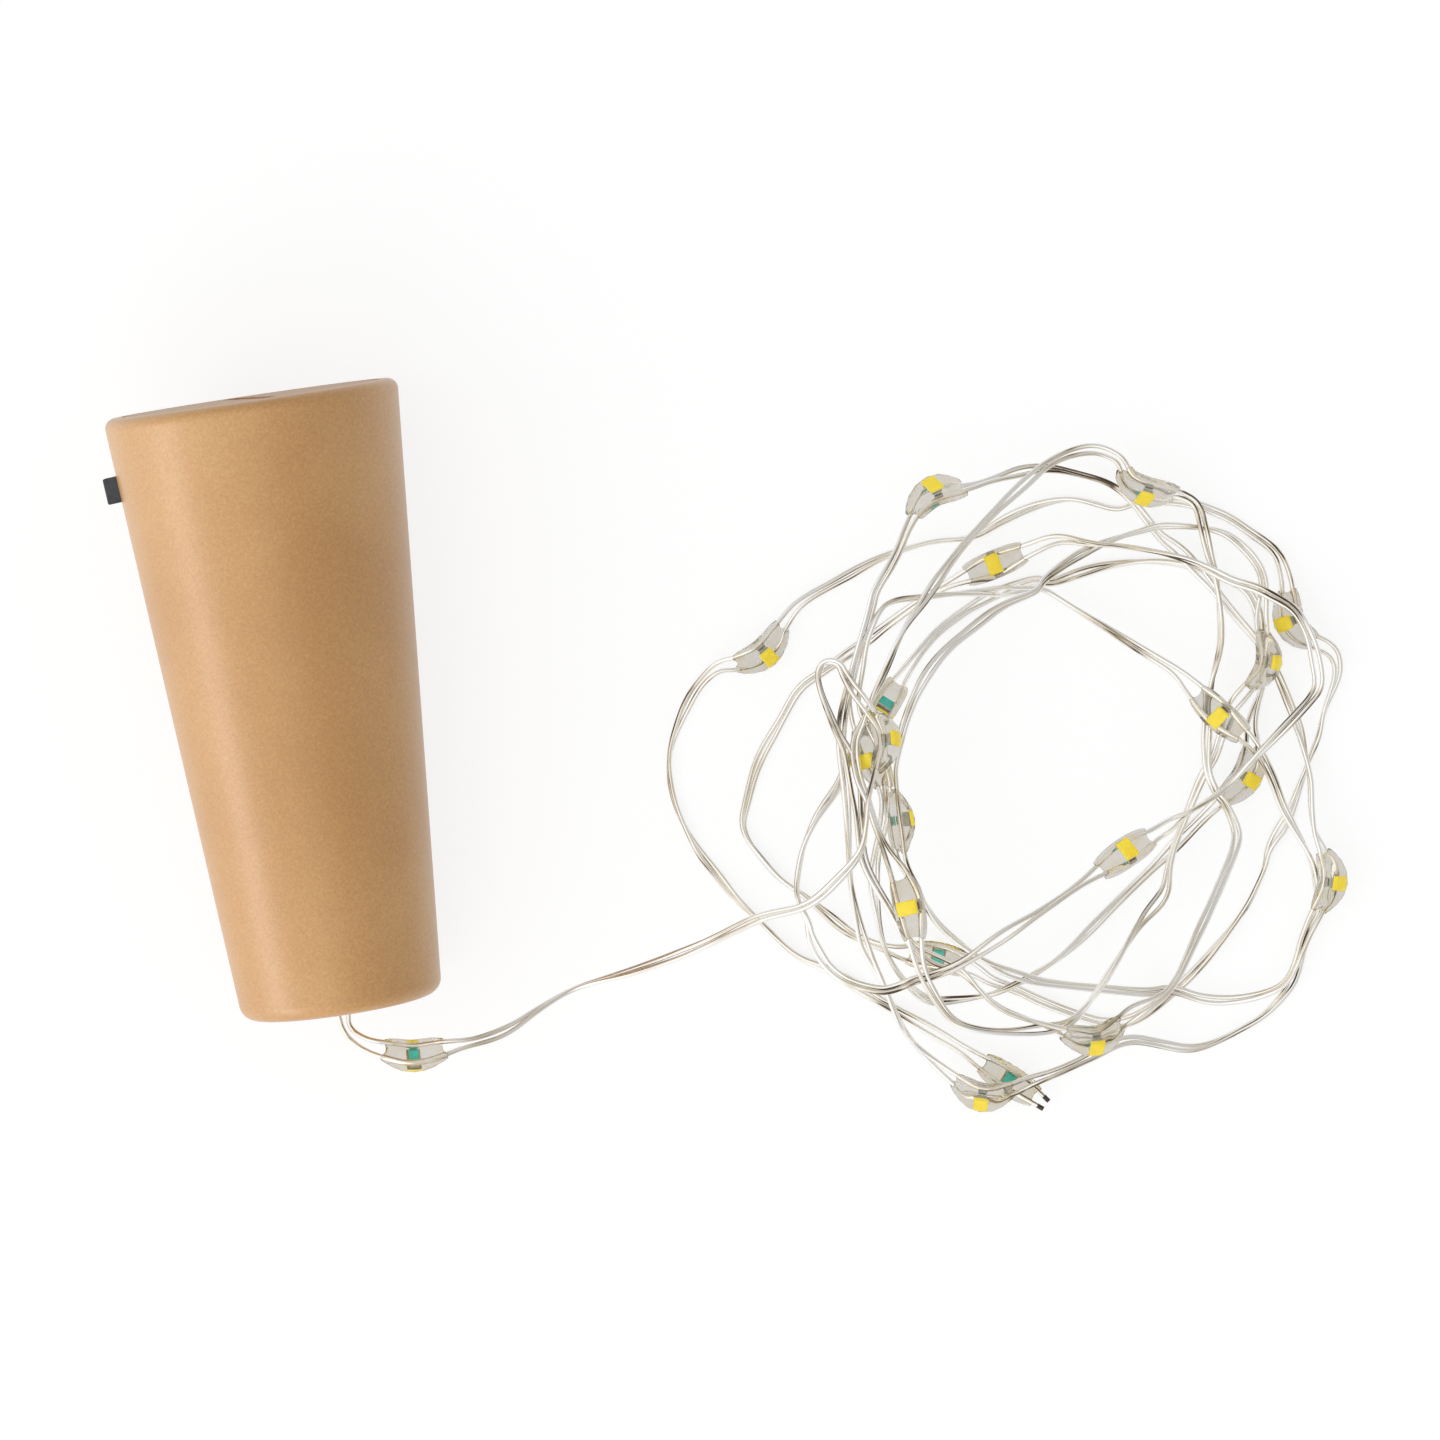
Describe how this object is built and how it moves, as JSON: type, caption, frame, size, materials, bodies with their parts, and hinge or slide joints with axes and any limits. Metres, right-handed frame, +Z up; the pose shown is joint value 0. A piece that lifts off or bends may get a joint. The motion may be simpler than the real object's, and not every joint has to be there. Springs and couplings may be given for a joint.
{
  "type": "cork bottle light",
  "caption": "Tapered cork-shaped bottle stopper with a side switch and button cells inside, and a string of tiny lights on twin silver wires lying coiled beside it.",
  "frame": {"origin": "on the floor, under the middle of the box round the stopper and its switch knob, without the string", "axes": "+Y along the lying stopper towards its wide end, +X towards the coiled string, +Z up"},
  "size_m": [0.0918, 0.0651, 0.0224],
  "materials": {
    "cork": "satin, finely grained, cork coloured",
    "lid": "satin, a little pinker than the stopper",
    "knob": "matt black",
    "holder": "off-white moulded",
    "cell_steel": "bright nickel-plated steel",
    "spring_steel": "plated spring wire",
    "contact_metal": "plated brass strip",
    "board": "green solder mask",
    "resistor": "black chip",
    "switch_metal": "tinned sheet",
    "switch_plastic": "black moulded",
    "lead_red": "red insulation",
    "lead_black": "black insulation",
    "wire": "silvered copper with a clear coat",
    "resin": "clear epoxy",
    "chip": "yellow phosphor in front, green behind",
    "glue": "milky glue"
  },
  "bodies": {
    "stopper": {"cork_body": "cork", "battery_tube": "holder", "battery_spring": "spring_steel", "contact_strip": "contact_metal", "circuit_board": "board", "board_resistor": "resistor", "switch_can": "switch_metal", "switch_base": "switch_plastic", "switch_terminals": "contact_metal", "switch_lead_1": "lead_red", "switch_lead_2": "lead_black", "inner_wire_a": "wire", "inner_wire_b": "wire", "exit_seal": "glue", "cell_1": "cell_steel", "cell_2": "cell_steel", "cell_3": "cell_steel", "lead_wire_a": "wire", "lead_wire_b": "wire", "coil_wire_a": "wire", "coil_wire_b": "wire", "led_chips": "chip", "led_bead_01": "resin", "led_bead_02": "resin", "led_bead_03": "resin", "led_bead_04": "resin", "led_bead_05": "resin", "led_bead_06": "resin", "led_bead_07": "resin", "led_bead_08": "resin", "led_bead_09": "resin", "led_bead_10": "resin", "led_bead_11": "resin", "led_bead_12": "resin", "led_bead_13": "resin", "led_bead_14": "resin", "led_bead_15": "resin", "led_bead_16": "resin", "led_bead_17": "resin", "led_bead_18": "resin", "led_bead_19": "resin", "led_bead_20": "resin"},
    "switch": {"switch_knob": "knob"},
    "lid": {"battery_lid": "lid", "lid_contact": "contact_metal"}
  },
  "joints": [
    {"name": "switch_slide", "type": "slide", "parent": "stopper", "child": "switch", "axis": [0.0764, -0.9942, -0.0761], "range_m": [0, 0.002]},
    {"name": "lid_pull", "type": "slide", "parent": "stopper", "child": "lid", "axis": [0, 0.9971, 0.0764], "range_m": [0, 0.015]}
  ]
}
